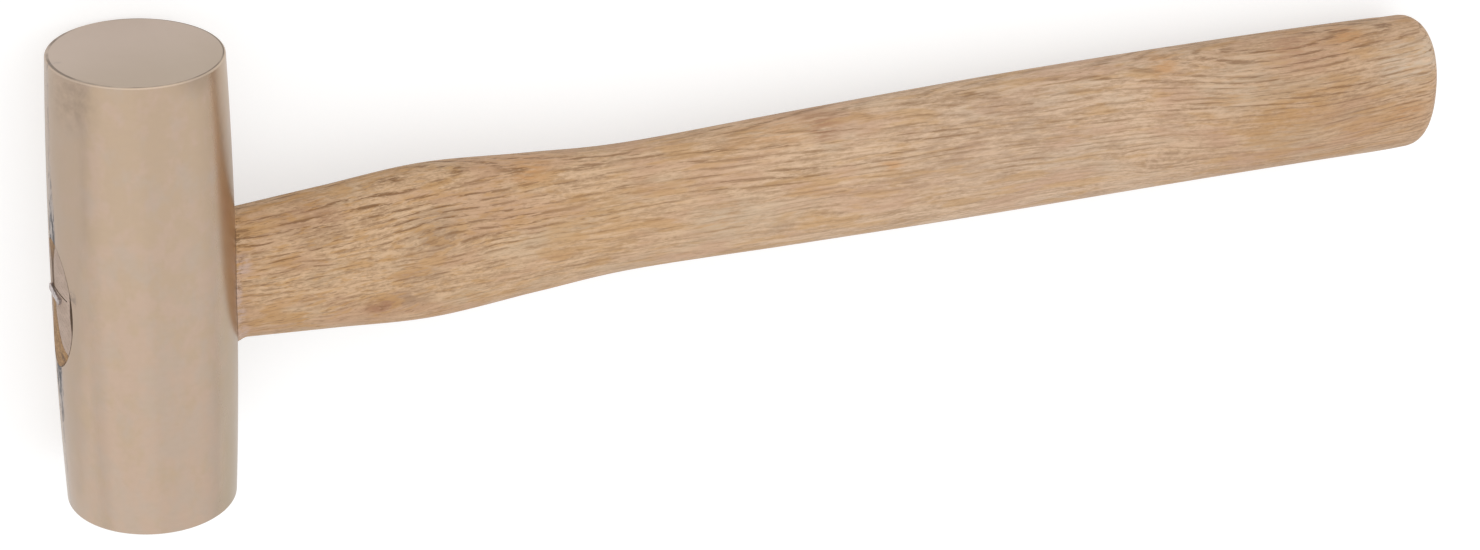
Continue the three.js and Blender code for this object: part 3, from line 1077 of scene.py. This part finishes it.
def grain_lines(nodes, place, wavy):
    """The place as the grain sees it: fibres that climb from the neck, level out, waver, and bend
    round the knots."""
    x, y, _ = nodes.parts(place)
    first, *others = (nodes.step(x, *stretch) * climb for stretch, climb in FIBRE_CLIMB)
    sway = nodes.cloud(place, (60, 24, 24), shift=3.0) - 0.5
    ripple = (nodes.cloud(place, (10, 5, 5), shift=67.0) - 0.5) * wavy
    aside = sum(others, first) + sway * FIBRE_SWAY + ripple
    for middle, reach, push in KNOTS:
        aside = aside - (y - middle[1]) * nodes.spot(place, middle, reach) * push
    shorter = nodes.step(x, *SHORT_FIBRES) * SHORTENED_BY
    deeper = sway * FIBRE_SWAY_IN_DEPTH + ripple * RIPPLE_IN_DEPTH
    return nodes.vector("ADD", place, nodes.add("CombineXYZ", {}, {"X": shorter, "Y": aside, "Z": deeper}))


def add_marks(nodes, colour, place, grain):
    """Lays the stains and knots over the wood's colour, partly in torn streaks."""
    streaks = nodes.patches(grain, (6, 0.9, 0.9), (0.38, 0.58), detail=4.0, roughness=0.6, shift=107.0)
    for middle, reach, shade, strength in WOOD_MARKS:
        spot = nodes.spot(place, (*middle, NEAR_SIDE), (*reach, MARK_DEPTH), MARK_SOFTNESS)
        colour = nodes.lay(spot * raised(streaks, *MARK_STREAKS), colour, (shade, strength))
    return colour


def bruised_edge(nodes, place):
    """Crushing by the head's edge: pale torn fibres, and dark flecks of painted shade in the crevices
    right beside the head.
    """
    x, y, z = nodes.parts(place)
    reach = (x**2 + z**2) ** 0.5 - BARREL_RADIUS + y**2 * BARREL_SLIMMING
    torn = nodes.patches(place, (4.0, 0.9, 0.9), (0.36, 0.56), detail=3.0, roughness=0.8, shift=43.0)
    pale = 0.0
    for middle, size in BRUISES:
        pale = nodes.spot(place, middle, size, BRUISE_SOFTNESS).math("MAXIMUM", pale)
    pitted = nodes.patches(place, (1.4, 0.6, 0.6), (0.52, 0.62), detail=3.0, roughness=0.7, shift=77.0)
    beside = 1 - nodes.step(reach, *CRACKS_REACH)
    return pale * torn, pitted * beside * raised(nodes.step(y, *CRACKS_ABOVE), *CRACKS_SHARE)


def growth_layers(nodes, grain, y, z):
    """1 in the porous start of each growth layer, which lie a millimetre apart round the tree's pith."""
    from_pith = ((y + PITH_BELOW) ** 2 + (z + PITH_BEHIND) ** 2) ** 0.5
    layers = from_pith + nodes.cloud(grain, (70, 7, 7), shift=13.0) * LAYER_WANDER
    off_layer = (layers.math("FRACT") - 0.5).math("ABSOLUTE")
    return 1 - nodes.step(off_layer, *LAYER_PORES)


def wood_pores(nodes, grain, in_layer, upper, at_neck, at_head, at_butt):
    """How dark the open pores are: long broken lines in the growth layers, and short dots between them."""
    broken = nodes.patches(grain, (9.5, 0.7, 0.7), (0.46, 0.58), detail=3.0, roughness=0.65, shift=19.0)
    dense = nodes.patches(grain, (50, 5, 5), (0.36, 0.60), shift=7.0) * 0.5 + upper * 0.5
    strength = at_head * LINES_AT_HEAD + at_butt * LINES_AT_BUTT + LINES
    strength = dense * strength + at_neck * upper * LINES_ABOVE_NECK + LINES_WHERE_SPARSE
    lines = in_layer * broken * strength
    dots = nodes.patches(grain, (3.5, 0.42, 0.42), (0.60, 0.70), detail=1.0, shift=31.0)
    return lines.math("MAXIMUM", dots * raised(at_neck, *DOT_STRENGTH))


def handle_wood():
    """Fine-sanded ring-porous hardwood: long dark pores in growth layers over cloudy pale wood."""
    material, nodes = new_material("handle_wood")
    place = nodes.head_place()
    along, across, _ = nodes.parts(place)
    uneven = (nodes.cloud(place, (30, 12, 12), shift=89.0) - 0.5) * UPPER_WANDER
    upper = nodes.step(across + uneven, *UPPER_HALF)
    at_neck = 1 - nodes.step(along, *NECK_ENDS)
    at_head = 1 - nodes.step(along, *HEAD_END_FADES)
    at_swell = 1 - nodes.step(along, *SWELL_ENDS)
    at_butt = nodes.step(along, *BUTT_STARTS)
    ripple = RIPPLE - upper * RIPPLE_LESS_ABOVE
    grain = grain_lines(nodes, place, ripple * raised(at_swell, *WAVINESS))
    _, y, z = nodes.parts(grain)
    in_layer = growth_layers(nodes, grain, y, z)

    soft = nodes.cloud(grain, (15, 1.1, 1.1), detail=4.0, roughness=0.65, shift=29.0)
    specks = nodes.cloud(grain, (1.7, 0.55, 0.55), detail=3.0, roughness=0.65, shift=113.0) - 0.5
    colour = nodes.blend(nodes.step(soft + specks * PALE_SPECKS, *PALE_RISE), WOOD_BASE, WOOD_PALE)
    sand = nodes.patches(place, (26, 8, 8), (0.48, 0.66), detail=3.0, roughness=0.6, shift=47.0)
    colour = nodes.lay(sand, colour, SAND_TONE)
    rose = nodes.patches(place, (30, 10, 10), (0.48, 0.64), detail=3.0, roughness=0.6, shift=101.0)
    colour = nodes.lay(rose, colour, ROSE_TONE)
    ochre = nodes.patches(grain, (16, 3.2, 3.2), (0.50, 0.64), detail=3.0, roughness=0.6, shift=41.0)
    colour = nodes.blend(ochre * raised(at_neck, *OCHRE_STRENGTH), colour, WOOD_OCHRE)
    colour = add_marks(nodes, colour, place, grain)

    flecks = nodes.patches(grain, (7, 0.9, 0.9), (0.55, 0.66), shift=53.0)
    colour = nodes.blend(flecks * raised(at_neck, *FLECK_STRENGTH), colour, WOOD_OCHRE)
    fibres = nodes.patches(grain, (14, 0.65, 0.65), (0.50, 0.66), detail=4.0, roughness=0.65, shift=23.0)
    brown = fibres * (in_layer * BROWN_IN_LAYER + upper * BROWN_ABOVE + BROWN)
    colour = nodes.lay(brown, colour, BROWN_TONE)
    dark = wood_pores(nodes, grain, in_layer, upper, at_neck, at_head, at_butt)
    colour = nodes.lay(dark, colour, PORE_TONE)
    colour = nodes.lay(at_head, colour, DEEPER_TONE, how="MULTIPLY")
    unworn = nodes.spot(place, *PALE_END) * PALE_END_STRENGTH
    colour = nodes.blend(nodes.step(along, *WEAR_STARTS) * (1 - unworn), colour, WOOD_WORN, how="MULTIPLY")
    torn, shaded_cracks = bruised_edge(nodes, place)
    colour = nodes.lay(torn, colour, TORN_TONE)
    # Painted shade in the crevices right beside the head
    colour = nodes.lay(shaded_cracks, colour, CRACK_SHADE)
    # Painted shade: the wood inside the eye is dark
    colour = nodes.lay(1 - nodes.step(along, *INSIDE_EYE), colour, INSIDE_EYE_SHADE)
    inputs = {"Base Color": colour, "Roughness": WOOD_ROUGHNESS - in_layer * PORES_SMOOTHER}
    finish_material(nodes, inputs, soft * SOFT_WOOD_RELIEF - dark, WOOD_RELIEF)
    return material


# The tongue's ground end
END_PALE = (0.570, 0.430, 0.345)
END_BASE = (0.500, 0.370, 0.290)
END_PORES = ((0.200, 0.130, 0.090), 0.7)
END_PORE_STRENGTH = (0.15, 0.75)
END_ROUGHNESS = 0.55


def ground_end():
    """The tongue's end, ground flush with the bronze and greyed by it, with the pores of its growth
    layers cut across."""
    material, nodes = new_material("ground_end")
    place = nodes.head_place()
    _, y, z = nodes.parts(place)
    tint = nodes.patches(place, (4, 2.5, 2.5), (0.35, 0.65), detail=3.0, shift=31.0)
    layers = growth_layers(nodes, place, y, z)
    pores = nodes.patches(place, (6.0, 0.22, 0.22), (0.50, 0.64), roughness=0.6, shift=19.0)
    dark = pores * raised(layers, *END_PORE_STRENGTH)
    colour = nodes.lay(dark, nodes.blend(tint, END_BASE, END_PALE), END_PORES)
    finish_material(nodes, {"Base Color": colour, "Roughness": END_ROUGHNESS}, dark * -1, WOOD_RELIEF)
    return material


# Wedge wood: the steel wedge's stain sets in and ends beside the steel, and the foot is the darkest, with
# crushing wear and painted shade
WEDGE_TAN = (0.500, 0.300, 0.140)
WEDGE_BROWN = (0.320, 0.170, 0.070)
WEDGE_DARK = (0.110, 0.065, 0.040)
WEDGE_STAIN = (WEDGE_DARK, 0.85)
TAN_RISE = (0.35, 0.65)
CRUSHED_RISE = (0.46, 0.66)
STAIN_STARTS = (-1.5, 2.5)
STAIN_ENDS = (7.5, 14.0)
FOOT_ENDS = (-17.0, -11.0)
# Dark crushing wear everywhere, and painted shade added at the foot
WEDGE_WEAR_AND_FOOT_SHADE = (0.5, 0.35)
WEDGE_ROUGHNESS = 0.65
WEDGE_RELIEF = 0.10 * MM


def wedge_wood():
    """Darker wood with crushing marks from the blows that drove it in, stained beside the steel, and with
    painted shade at its foot.
    """
    material, nodes = new_material("wedge_wood")
    place = nodes.head_place()
    _, y, _ = nodes.parts(place)
    grain = nodes.cloud(place, (6.0, 0.45, 0.45), detail=3.0, shift=7.0)
    worn = nodes.cloud(place, (1.6, 2.4, 1.6), detail=3.0, shift=17.0)
    colour = nodes.blend(nodes.step(grain, *TAN_RISE), WEDGE_BROWN, WEDGE_TAN)
    stained = nodes.step(y, *STAIN_STARTS) * (1 - nodes.step(y, *STAIN_ENDS))
    colour = nodes.lay(stained, colour, WEDGE_STAIN)
    # Dark crushing patches all over, with painted shade added at the foot
    at_foot = 1 - nodes.step(y, *FOOT_ENDS)
    crushed_and_foot_shade = nodes.step(worn, *CRUSHED_RISE) * raised(at_foot, *WEDGE_WEAR_AND_FOOT_SHADE)
    colour = nodes.blend(crushed_and_foot_shade, colour, WEDGE_DARK)
    inputs = {"Base Color": colour, "Roughness": WEDGE_ROUGHNESS}
    finish_material(nodes, inputs, grain + worn, WEDGE_RELIEF)
    return material


# Wedge steel
STEEL_GREY = (0.430, 0.385, 0.375)
STEEL_BRIGHT = (0.700, 0.630, 0.620)
BRIGHT_RISE = (0.4, 0.65)
STEEL_ROUGHNESS = (0.25, 0.3)
STEEL_RELIEF = 0.02 * MM


def wedge_steel():
    """Plain steel strip, bright where the hammer struck it."""
    material, nodes = new_material("wedge_steel")
    place = nodes.head_place()
    worn = nodes.cloud(place, (1.2, 1.2, 1.2), detail=4.0, shift=9.0)
    colour = nodes.blend(nodes.step(worn, *BRIGHT_RISE), STEEL_GREY, STEEL_BRIGHT)
    inputs = {"Base Color": colour, "Metallic": 1.0, "Roughness": raised(worn, *STEEL_ROUGHNESS)}
    finish_material(nodes, inputs, worn, STEEL_RELIEF)
    return material


# The studio


def add_camera():
    bpy.ops.object.camera_add(location=CAMERA_PLACE, rotation=[math.radians(turn) for turn in CAMERA_TURN])
    camera = bpy.context.object
    camera.data.sensor_fit = "HORIZONTAL"
    camera.data.sensor_width = CAMERA_FILM
    camera.data.lens = CAMERA_LENS
    camera.data.clip_start = CAMERA_NEAREST
    bpy.context.scene.camera = camera


def add_floor():
    """A wide pale floor that shows white and keeps the hammer's soft shadow."""
    bpy.ops.mesh.primitive_grid_add(
        x_subdivisions=FLOOR_SQUARES, y_subdivisions=FLOOR_SQUARES, size=FLOOR_SIZE
    )
    floor = bpy.context.object
    floor.name = "floor"
    material, nodes = new_material("floor")
    matt = nodes.add("BsdfDiffuse", {}, {"Color": FLOOR_COLOUR})
    seen, mirrored, through = (
        nodes.add("LightPath", output=f"Is {ray} Ray") for ray in ("Camera", "Glossy", "Transmission")
    )
    strength = seen * FLOOR_GLOW + mirrored.math("MAXIMUM", through) * FLOOR_GLOW_MIRRORED
    glow = nodes.add("Emission", {}, {"Strength": strength})
    both = nodes.add("AddShader", {}, {0: matt, 1: glow})
    nodes.add("OutputMaterial", {}, {"Surface": both})
    floor.data.materials.append(material)


def add_light():
    """A white room, a little brighter overhead, on the near left and at the back, and one soft lamp."""
    world = bpy.data.worlds.new("studio")
    bpy.context.scene.world = world
    world.use_nodes = True
    nodes = Nodes(world.node_tree)
    way = nodes.add("TexCoord", output="Generated")
    _, back, height = nodes.parts(way)
    overhead = nodes.step(height, *ROOM_RISE)
    strength = raised(overhead, ROOM_HORIZON, ROOM_OVERHEAD - ROOM_HORIZON)
    side = nodes.vector("DOT_PRODUCT", way, ROOM_BRIGHT_SIDE, output="Value")
    strength = strength + nodes.step(side, *ROOM_BRIGHT_SPREAD) * ROOM_BRIGHT_GAIN
    strength = strength + nodes.step(back, *ROOM_BACK_SPREAD) * ROOM_BACK_GAIN
    room = nodes.add("Background", {}, {"Color": WHITE, "Strength": strength})
    nodes.add("OutputWorld", {}, {"Surface": room})
    bpy.ops.object.light_add(type="AREA", location=LAMP_PLACE)
    lamp = bpy.context.object
    lamp.name = "soft_lamp"
    lamp.rotation_euler = (Vector(LAMP_AIM) - Vector(LAMP_PLACE)).to_track_quat("-Z", "Y").to_euler()
    lamp.data.shape = "DISK"
    lamp.data.size = LAMP_SIZE
    lamp.data.energy = LAMP_POWER


# The hammer

END_FACES_OUT = -0.85


def finish_end(handle, material):
    """Gives the tongue's ground end, which faces away from the grip, its own finish."""
    handle.data.materials.append(material)
    edge = HEAD_CENTRE.x - eye_half(0)[1] * 2
    for face in handle.data.polygons:
        if face.center.x < edge and face.normal.x < END_FACES_OUT:
            face.material_index = len(handle.data.materials) - 1


def fit(piece, node, material):
    """Puts a finished piece in the place of its plain one."""
    piece.data.materials.clear()
    piece.data.materials.append(material)
    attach(piece, "root")
    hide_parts(node)


def main():
    bpy.ops.object.select_all(action="DESELECT")
    add_camera()
    add_floor()
    add_light()
    fit(make_head(), "head", bronze())
    handle = make_handle()
    fit(handle, "handle", handle_wood())
    finish_end(handle, ground_end())
    fit(make_wooden_wedge(), "wooden_wedge", wedge_wood())
    fit(make_steel_wedge(), "steel_wedge", wedge_steel())
    bpy.context.scene.view_settings.view_transform = "Standard"


main()
